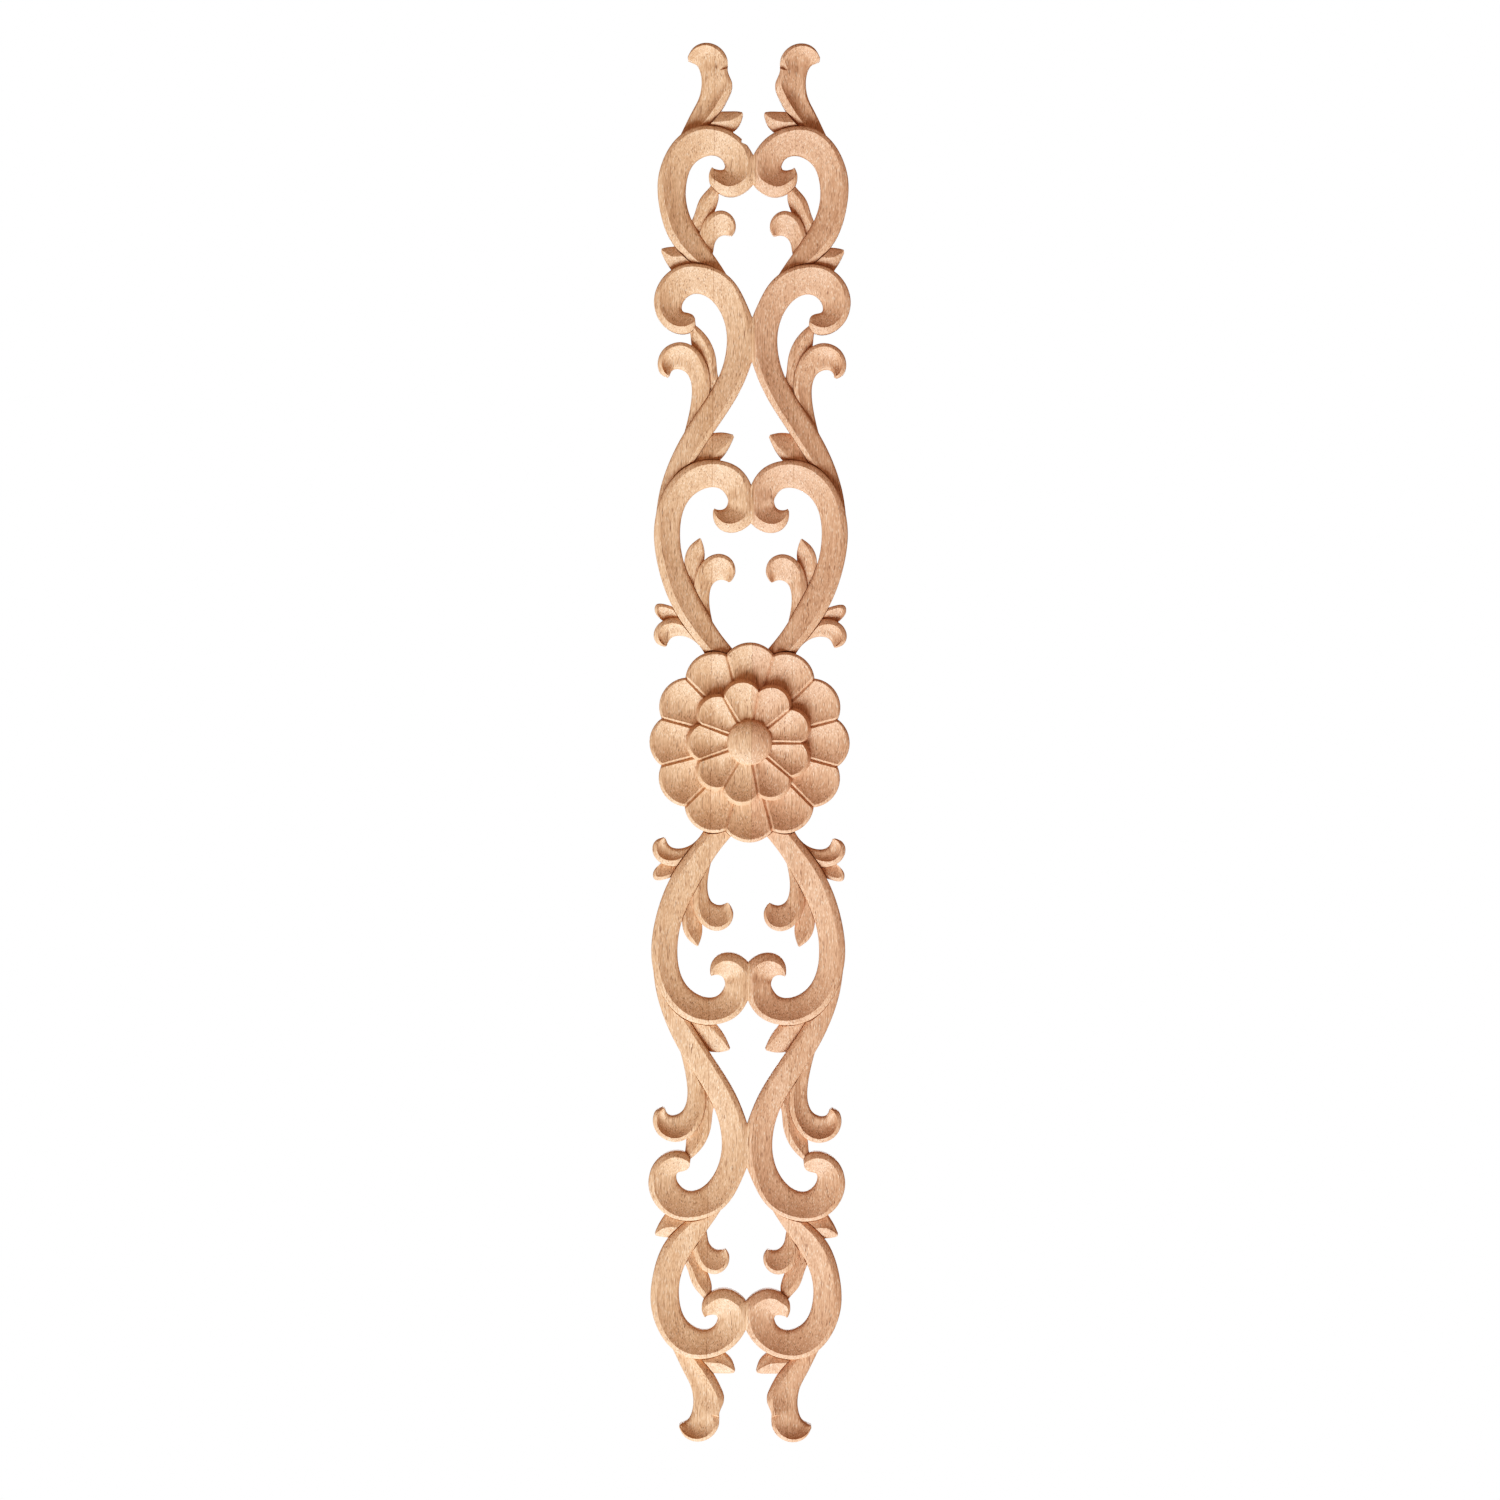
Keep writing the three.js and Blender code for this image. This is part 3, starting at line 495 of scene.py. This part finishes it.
def strip(form):
    """The carved strip of one form."""
    sections = []
    for station in stations_of(form):
        width = width_of(station)
        bevel = min(station[4], WIDEST_BEVEL * width)
        outline = profile(width, bevel, *station[5:])
        sections.append([point_on(station, distance, height) for distance, height in outline])
    return loft("strip", sections)


def strip_cut(form):
    """What a strip cuts from the forms below it: all above a height, a little wider towards the top."""
    sections = []
    for station in stations_of(form):
        width = width_of(station)
        corners = [(0, UNDERLAP_HEIGHT), (-CUT_SPREAD, CUT_HEIGHT)]
        corners += [(width + CUT_SPREAD, CUT_HEIGHT), (width, UNDERLAP_HEIGHT)]
        sections.append([point_on(station, distance, height) for distance, height in corners])
    return loft("cut", sections)


# Rosette

def scallop(tip, valley_share, half_angle, angle):
    """Radius of a scalloped outline whose lobes are arcs, at an angle from the middle of a lobe."""
    valley = tip * valley_share
    centre = (tip**2 - valley**2) / (2 * (tip - valley * math.cos(half_angle)))
    radius = tip - centre
    return centre * math.cos(angle) + math.sqrt(radius**2 - (centre * math.sin(angle)) ** 2)


def petal_angles(count, radius):
    """Round a ring: the petal's middle, the angle from it, the place across the petal, the vein's depth."""
    half = math.pi / count
    vein = math.asin(min(VEIN_WIDTH / 2 / radius, WIDEST_VEIN * half))
    edge = half - VEIN_EDGE * vein
    edge_depth = VEIN_EDGE_DEPTH * VEIN_DEPTH
    places = []
    for petal in range(count):
        middle = 2 * half * petal
        places.append((middle, -half, -1, VEIN_DEPTH))
        places.append((middle, -edge, -1, edge_depth))
        for across in ACROSS_PETAL:
            places.append((middle, across * (half - VEIN_LIP * vein), across, 0))
        places.append((middle, edge, 1, edge_depth))
    return places


def petal_ring(count, turn, valley_share, diameter, foot_radius, foot, scoop, rim, rim_bevel, edge):
    """A ring of petals: each is hollow along and across, and rises faster and faster towards its rim."""
    half = math.pi / count
    tip = diameter / 2
    rings = []

    def ring_at(share_out, inset, height_of):
        ring = []
        reach = foot_radius + (tip - foot_radius) * share_out
        for middle, offset, across, groove in petal_angles(count, reach):
            outline = scallop(tip, valley_share, half, offset) - inset
            radius = foot_radius + (outline - foot_radius) * share_out
            angle = turn + middle + offset
            ring.append([radius * math.cos(angle), -height_of(across) + groove, radius * math.sin(angle)])
        rings.append(ring)

    def hollow(share, across):
        down = min(1, (1 - share) / (1 - HOLLOW_FROM))
        fall = 2 * down - down * down
        middle = scoop * (RIM_SCOOP_SHARE + (1 - RIM_SCOOP_SHARE) * fall) * (1 - across**2)
        lip = FOOT_LIP * max(0, 1 - share / LIP_SHARE) ** 2
        return rim - (rim - foot) * fall - middle + lip

    for share in PETAL_PLACES:
        ring_at(share, rim_bevel, lambda across: hollow(share, across))
    for inset in RIM_PLACES:
        fall = (rim - edge) * (1 - inset) ** RIM_ROUND
        ring_at(1, inset * rim_bevel, lambda across: hollow(1, across) - fall)
    ring_at(1, 0, lambda across: hollow(1, across) - (rim - edge) - ARRIS)
    rings.append([[x, 0, z] for x, y, z in rings[-1]])
    return closed_rings("ring", rings, foot - scoop)


def closed_rings(name, rings, top_height):
    """The skin over rings around the rosette's axis, closed by a point on it at the top and at the back."""
    around = len(rings[0])
    points = [point for ring in rings for point in ring]
    polygons = walls(len(rings), around)
    top, back = len(points), len(points) + 1
    points += [[0, -top_height, 0], [0, 0, 0]]
    last = (len(rings) - 1) * around
    for k in range(around):
        n = (k + 1) % around
        polygons.append((top, n, k))
        polygons.append((back, last + k, last + n))
    return mesh_object(name, points, polygons)


def button():
    """The domed button in the middle."""
    radius = BUTTON_DIAMETER / 2
    fall = BUTTON_HEIGHT - BUTTON_EDGE_HEIGHT
    rings = []
    for share in DOME_PLACES:
        rings.append(circle(radius * share, BUTTON_HEIGHT - fall * share**DOME_POWER))
    rings.append(circle(DOME_EDGE * radius, BUTTON_EDGE_HEIGHT))
    rings.append(circle(radius, BUTTON_EDGE_HEIGHT - BUTTON_ARRIS))
    rings.append(circle(radius, 0))
    return closed_rings("button", rings, BUTTON_HEIGHT)


def circle(radius, height):
    angles = [2 * math.pi * k / BUTTON_SIDES for k in range(BUTTON_SIDES)]
    return [[radius * math.cos(a), -height, radius * math.sin(a)] for a in angles]


def rosette():
    outer = petal_ring(
        count=OUTER_PETALS,
        turn=OUTER_RING_TURN,
        valley_share=OUTER_VALLEY_SHARE,
        diameter=ROSETTE_DIAMETER,
        foot_radius=INNER_RING_DIAMETER * OUTER_FOOT_SHARE,
        foot=PETAL_FOOT_HEIGHT,
        scoop=PETAL_SCOOP,
        rim=ROSETTE_RIM_HEIGHT,
        rim_bevel=ROSETTE_RIM_BEVEL,
        edge=ROSETTE_EDGE_HEIGHT,
    )
    inner = petal_ring(
        count=INNER_PETALS,
        turn=INNER_RING_TURN,
        valley_share=INNER_VALLEY_SHARE,
        diameter=INNER_RING_DIAMETER,
        foot_radius=BUTTON_DIAMETER * INNER_FOOT_SHARE,
        foot=INNER_PETAL_FOOT_HEIGHT,
        scoop=INNER_PETAL_SCOOP,
        rim=INNER_RING_HEIGHT,
        rim_bevel=INNER_RIM_BEVEL,
        edge=INNER_RING_EDGE_HEIGHT,
    )
    combine(outer, inner, "UNION")
    combine(outer, button(), "UNION")
    return outer


def rosette_cut():
    """What the rosette cuts from the scrolls' ends."""
    steps = ROSETTE_CUT_SIDES * OUTER_PETALS
    half = math.pi / OUTER_PETALS
    sections = []
    for height, wider in ((UNDERLAP_HEIGHT, 0), (CUT_HEIGHT, CUT_SPREAD)):
        section = []
        for k in range(steps):
            angle = 2 * math.pi * k / steps
            offset = (angle + half) % (2 * half) - half
            radius = scallop(ROSETTE_DIAMETER / 2, OUTER_VALLEY_SHARE, half, offset) + wider
            section.append([radius * math.cos(angle), -height, radius * math.sin(angle)])
        sections.append(section)
    return loft("cut", sections)


def stop_cut():
    """A short V-shaped cut, steep towards the middle of the onlay and flat towards its end."""
    rise = BEVEL
    sections = []
    for x, z, depth in STOP_CUT:
        bottom = SCROLL_HEIGHT - depth
        top = bottom + rise
        corners = ((0, bottom), (rise * STOP_CUT_FLAT, top), (-rise * STOP_CUT_STEEP, top))
        sections.append([[x * ACROSS, -height, z * ALONG + shift] for shift, height in corners])
    return loft("stop_cut", sections)


def chip_cut():
    """The chip, cut right through the rim."""
    heights = (BELOW_BACK, CUT_HEIGHT)
    sections = [[[x * ACROSS, -height, z * ALONG] for x, z in CHIP] for height in heights]
    return loft("chip", sections)


def carved_onlay():
    """One quarter form by form, mirrored twice, with the rosette and the chip."""
    onlay = strip(LAYERS[0])
    for form in LAYERS[1:]:
        combine(onlay, strip_cut(form), "DIFFERENCE")
        combine(onlay, strip(form), "UNION")
    combine(onlay, stop_cut(), "DIFFERENCE")
    combine(onlay, mirrored(onlay, 0), "UNION")
    combine(onlay, mirrored(onlay, 2), "UNION")
    combine(onlay, rosette_cut(), "DIFFERENCE")
    combine(onlay, rosette(), "UNION")
    combine(onlay, chip_cut(), "DIFFERENCE")
    return onlay


# Wood

# The glued strips of the board: where each begins, in millimetres across the onlay, and its colour. Thin
# dark seams part them.
BOARD_REACH = 60
STRIPS = [
    (-60, (0.74, 0.429, 0.252)),
    (-31, (0.725, 0.414, 0.238)),
    (-22.3, (0.75, 0.436, 0.259)),
    (1, (0.685, 0.367, 0.222)),
    (24, (0.675, 0.358, 0.214)),
]
SEAM = 0.3
SEAM_COLOUR = (0.5, 0.26, 0.14)

# Layers of the grain: the noise's sizes in millimetres across, through and along the wood, its detail and
# roughness, the range of it that counts, and the tints at the two ends of that range.
BROAD_STREAKS = ((9, 9, 260), 2, 0.5, (0.35, 0.65), (0.93, 0.9, 0.87), (1.03, 1.04, 1.05))
STREAKS = ((1.1, 1.1, 60), 3, 0.6, (0.35, 0.65), (0.88, 0.84, 0.8), (1.06, 1.09, 1.11))
FIBRES = ((0.5, 0.5, 24), 2, 0.6, (0.35, 0.65), (0.86, 0.82, 0.78), (1.09, 1.13, 1.16))
SPECKLE = ((0.36, 0.36, 3.2), 2, 0.65, (0.3, 0.7), (0.69, 0.64, 0.59), (1.22, 1.29, 1.35))

# Pores and flecks are short tubes along the grain: the sizes of the cells that hold one each, in
# millimetres, the tube's radius as a share of its cell, and how far the pattern is moved.
COARSE_PORES = ((0.8, 0.8, 16), 0.3, (0, 0, 0))
FINE_PORES = ((0.62, 0.62, 7), 0.32, (31.7, 17.3, 53.9))
FLECKS = ((0.7, 0.7, 4), 0.32, (11.3, 7.9, 23.1))
TUBES_FROM = (0.4, 0.45)  # cells whose chance is below this have no tube
TUBE_CORE = 0.6  # of the tube's radius, before it fades
PORE_ROWS = (3, 3, 50)
PORE_ROWS_RANGE = (0.35, 0.6)
PORE_ROWS_LEAST = 0.4
FINE_PORE_STRENGTH = 0.9
PORE_COLOUR = (0.16, 0.07, 0.035, 1)
FLECK_STRENGTH = 0.5
FLECK_COLOUR = (0.97, 0.78, 0.58, 1)

# The surface: bump from pores and speckle, its distance in metres
PORE_RELIEF = -0.8
SPECKLE_RELIEF = 0.6
BUMP_STRENGTH = 0.4
BUMP_DISTANCE = 0.00012
WOOD_ROUGHNESS = 0.6
WOOD_SPECULAR = 0.35


class Nodes:
    """Adds nodes to a material's tree in few words."""

    def __init__(self, tree):
        self.tree = tree
        tree.nodes.clear()

    def add(self, kind, inputs=None, **settings):
        """A node of a kind, each of its inputs set to a value or linked to another node's output."""
        node = self.tree.nodes.new("ShaderNode" + kind)
        for key, value in settings.items():
            setattr(node, key, value)
        for key, value in (inputs or {}).items():
            if isinstance(value, bpy.types.NodeSocket):
                self.tree.links.new(value, node.inputs[key])
            else:
                node.inputs[key].default_value = value
        return node

    def math(self, operation, a, b=0.0):
        return self.add("Math", {0: a, 1: b}, operation=operation).outputs[0]

    def stretched(self, vector, sizes):
        """The vector divided by a size along each axis."""
        shares = [1 / size for size in sizes]
        return self.add("VectorMath", {0: vector, 1: shares}, operation="MULTIPLY").outputs[0]

    def noise(self, vector, sizes, detail=2.0, roughness=0.5):
        """Noise with features of the given sizes along the three axes."""
        place = self.stretched(vector, sizes)
        inputs = {"Vector": place, "Scale": 1.0, "Detail": detail, "Roughness": roughness}
        return self.add("TexNoise", inputs).outputs["Fac"]

    def between(self, value, low, high, to_low=0.0, to_high=1.0):
        """The value's place between low and high, spread over another range."""
        inputs = {"Value": value, "From Min": low, "From Max": high, "To Min": to_low, "To Max": to_high}
        return self.add("MapRange", inputs).outputs["Result"]

    def shifted(self, vector, shift):
        return self.add("VectorMath", {0: vector, 1: shift}).outputs[0]

    def tubes(self, vector, kind):
        """Short tubes scattered through the wood, about two in five of them left out."""
        sizes, radius, shift = kind
        place = self.stretched(self.shifted(vector, shift), sizes)
        cells = self.add("TexVoronoi", {"Vector": place, "Scale": 1.0})
        chance = self.add("SeparateColor", {0: cells.outputs["Color"]}).outputs[0]
        chosen = self.between(chance, *TUBES_FROM)
        inside = self.between(cells.outputs["Distance"], TUBE_CORE * radius, radius, 1, 0)
        return self.math("MULTIPLY", inside, chosen)

    def tinted(self, colour, share, low, high):
        """The colour multiplied by a tint that runs from low to high."""
        tint = self.mix(share, (*low, 1), (*high, 1))
        return self.mix(1.0, colour, tint, "MULTIPLY")

    def mix(self, share, a, b, blend="MIX"):
        inputs = {"Factor": share, 6: a, 7: b}
        return self.add("Mix", inputs, data_type="RGBA", blend_type=blend).outputs[2]


def board_colour(nodes, mm):
    """The glued strips of the board, each a little different, with a seam between them."""
    x = nodes.add("SeparateXYZ", {0: mm}).outputs[0]
    strips = nodes.add("ValToRGB", {"Fac": nodes.between(x, -BOARD_REACH, BOARD_REACH)})
    strips.color_ramp.interpolation = "CONSTANT"
    stops = strips.color_ramp.elements
    stops[0].color = (*STRIPS[0][1], 1)
    stops[1].color = (*STRIPS[-1][1], 1)
    for edge, colour in STRIPS[1:]:
        for start, shade in ((edge - SEAM, SEAM_COLOUR), (edge, colour)):
            stops.new((start + BOARD_REACH) / (2 * BOARD_REACH)).color = (*shade, 1)
    return strips.outputs["Color"]


def grained(nodes, mm, colour, layer):
    """The colour with one layer of the grain on it, and that layer's noise."""
    sizes, detail, roughness, (low, high), dark, pale = layer
    noise = nodes.noise(mm, sizes, detail, roughness)
    return nodes.tinted(colour, nodes.between(noise, low, high), dark, pale), noise


def wood_pores(nodes, mm):
    """Thin dark tubes along the grain, cut to dashes on the flanks and to dots on the arcs."""
    coarse = nodes.tubes(mm, COARSE_PORES)
    fine = nodes.math("MULTIPLY", nodes.tubes(mm, FINE_PORES), FINE_PORE_STRENGTH)
    rows = nodes.between(nodes.noise(mm, PORE_ROWS), *PORE_ROWS_RANGE, PORE_ROWS_LEAST, 1)
    return nodes.math("MULTIPLY", nodes.math("MAXIMUM", coarse, fine), rows)


def wood_material():
    """Pale unfinished rubberwood with its grain along the onlay."""
    material = bpy.data.materials.new("rubberwood")
    material.use_nodes = True
    nodes = Nodes(material.node_tree)
    mm = nodes.stretched(nodes.add("TexCoord").outputs["Object"], (MM, MM, MM))

    colour = board_colour(nodes, mm)
    for layer in (BROAD_STREAKS, STREAKS, FIBRES):
        colour = grained(nodes, mm, colour, layer)[0]
    colour, speckle = grained(nodes, mm, colour, SPECKLE)

    pores = wood_pores(nodes, mm)
    colour = nodes.mix(pores, colour, PORE_COLOUR)
    flecks = nodes.math("MULTIPLY", nodes.tubes(mm, FLECKS), FLECK_STRENGTH)
    colour = nodes.mix(flecks, colour, FLECK_COLOUR)

    pore_relief = nodes.math("MULTIPLY", pores, PORE_RELIEF)
    height = nodes.math("ADD", pore_relief, nodes.math("MULTIPLY", speckle, SPECKLE_RELIEF))
    bump = nodes.add("Bump", {"Strength": BUMP_STRENGTH, "Distance": BUMP_DISTANCE, "Height": height})
    shader = nodes.add("BsdfPrincipled", {"Base Color": colour, "Normal": bump.outputs["Normal"]})
    shader.inputs["Roughness"].default_value = WOOD_ROUGHNESS
    shader.inputs["Specular IOR Level"].default_value = WOOD_SPECULAR
    nodes.add("OutputMaterial", {"Surface": shader.outputs[0]})
    return material


# Studio

# The camera's place, in metres, which puts the onlay where the photo has it. The photo is square, and the
# onlay leans a little in it.
CAMERA_DISTANCE = 3.0
CAMERA_X = 0.00027
CAMERA_Z = -0.0043
CAMERA_REACH = 50
SENSOR_WIDTH = 36  # millimetres
PHOTO_PIXELS = 1500
PIXELS_PER_METRE = 1750
FRAME_HEIGHT = PHOTO_PIXELS / PIXELS_PER_METRE
LEAN = math.radians(0.362)

# The soft contrast: shadows deepened by the power, highlights rounded towards the top
ALL_COLOURS = 3  # the curve that works on red, green and blue alike
TONE_POWER = 1.12
TONE_TOP = 2.2
TONE_STOPS = (0.01, 0.03, 0.06, 0.1, 0.15, 0.22, 0.32, 0.45, 0.62, 0.8)

# Lights, in metres and watts. Azimuths go round the camera's line of sight, and slants away from it.
WHITE = (1, 1, 1, 1)
LIGHT_AZIMUTH = math.radians(256)
LIGHT_SLANT = math.radians(56)
LIGHT_DISTANCE = 5.5
LIGHT_SIZE = 4
LIGHT_POWER = 558
BACK_AZIMUTH = math.radians(90)
BACK_SLANT = math.radians(170)
BACK_DISTANCE = 4
BACK_SIZE = 2
BACK_POWER = 110
LIGHT_COLOUR = (0.817, 0.896, 0.936)
FILL_COLOUR = (1.0, 0.6, 0.38)
FILL_STRENGTH = 0.29

# The floor, in millimetres. It glows a little, so that it stays pale in every view.
FLOOR_REACH = 1200
FLOOR_BACK = 380
FLOOR_LEVEL = -500
FLOOR_COLOUR = (0.86, 0.86, 0.86, 1)
FLOOR_ROUGHNESS = 0.8
FLOOR_GLOW = 0.55


def add_camera():
    """A camera straight in front, as far away as the photo's flat view asks for."""
    data = bpy.data.cameras.new("camera")
    data.sensor_width = SENSOR_WIDTH
    data.lens = SENSOR_WIDTH / 2 / (FRAME_HEIGHT / 2 / CAMERA_DISTANCE)
    data.clip_end = CAMERA_REACH
    camera = bpy.data.objects.new("camera", data)
    camera.location = (CAMERA_X, -CAMERA_DISTANCE - SCROLL_HEIGHT * MM, CAMERA_Z)
    camera.rotation_euler = (math.radians(90), 0, 0)
    camera.rotation_euler.rotate_axis("Z", LEAN)
    bpy.context.scene.collection.objects.link(camera)
    bpy.context.scene.camera = camera


def add_softbox(name, azimuth, slant, distance, size, power):
    """A round soft light, its direction given round the line of sight and away from it."""
    data = bpy.data.lights.new(name, "AREA")
    data.shape = "DISK"
    data.size = size
    data.energy = power
    data.color = LIGHT_COLOUR
    light = bpy.data.objects.new(name, data)
    across = math.sin(slant)
    towards = Vector((across * math.cos(azimuth), -math.cos(slant), across * math.sin(azimuth)))
    light.location = towards * distance
    light.rotation_euler = towards.to_track_quat("Z", "Y").to_euler()
    bpy.context.scene.collection.objects.link(light)


def add_world():
    """A white background for the camera, and a weak warm fill for the wood."""
    world = bpy.data.worlds.new("studio")
    world.use_nodes = True
    nodes = Nodes(world.node_tree)
    seen = nodes.add("LightPath").outputs["Is Camera Ray"]
    white = nodes.add("Background", {"Color": WHITE, "Strength": 1.0})
    fill = nodes.add("Background", {"Color": (*FILL_COLOUR, 1), "Strength": FILL_STRENGTH})
    both = nodes.add("MixShader", {0: seen, 1: fill.outputs[0], 2: white.outputs[0]})
    nodes.add("OutputWorld", {"Surface": both.outputs[0]})
    bpy.context.scene.world = world


def add_floor():
    """A plain pale floor below the onlay, which neither lights nor shades it."""
    ground = [(-FLOOR_REACH, -FLOOR_REACH), (FLOOR_REACH, -FLOOR_REACH)]
    ground += [(FLOOR_REACH, FLOOR_BACK), (-FLOOR_REACH, FLOOR_BACK)]
    corners = [[x, y, FLOOR_LEVEL] for x, y in ground]
    floor = mesh_object("floor", corners, [(0, 1, 2, 3)])
    material = bpy.data.materials.new("pale_floor")
    material.use_nodes = True
    nodes = Nodes(material.node_tree)
    shader = nodes.add("BsdfPrincipled", {"Base Color": FLOOR_COLOUR, "Roughness": FLOOR_ROUGHNESS})
    shader.inputs["Emission Color"].default_value = WHITE
    shader.inputs["Emission Strength"].default_value = FLOOR_GLOW
    nodes.add("OutputMaterial", {"Surface": shader.outputs[0]})
    floor.data.materials.append(material)
    floor.visible_shadow = False
    floor.visible_diffuse = False
    floor.visible_glossy = False


def set_tone():
    """Plain colours with the soft contrast of a print: darker shadows, rounded highlights."""
    view = bpy.context.scene.view_settings
    view.view_transform = "Standard"
    view.look = "None"
    view.use_curve_mapping = True
    curve = view.curve_mapping.curves[ALL_COLOURS]
    for x in TONE_STOPS:
        curve.points.new(x, TONE_TOP * x**TONE_POWER / (x**TONE_POWER + TONE_TOP - 1))
    view.curve_mapping.update()


# The dressed onlay in its studio

onlay = carved_onlay()
onlay.name = "carved_onlay_wood"
onlay.data.name = "carved_onlay_wood"
for polygon in onlay.data.polygons:
    polygon.use_smooth = True
onlay.data.set_sharp_from_angle(angle=SHARP_ANGLE)
onlay.data.materials.clear()
onlay.data.materials.append(wood_material())
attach(onlay, "root")
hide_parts("carved_onlay")

add_camera()
add_world()
add_softbox("softbox", LIGHT_AZIMUTH, LIGHT_SLANT, LIGHT_DISTANCE, LIGHT_SIZE, LIGHT_POWER)
add_softbox("back_softbox", BACK_AZIMUTH, BACK_SLANT, BACK_DISTANCE, BACK_SIZE, BACK_POWER)
add_floor()
set_tone()
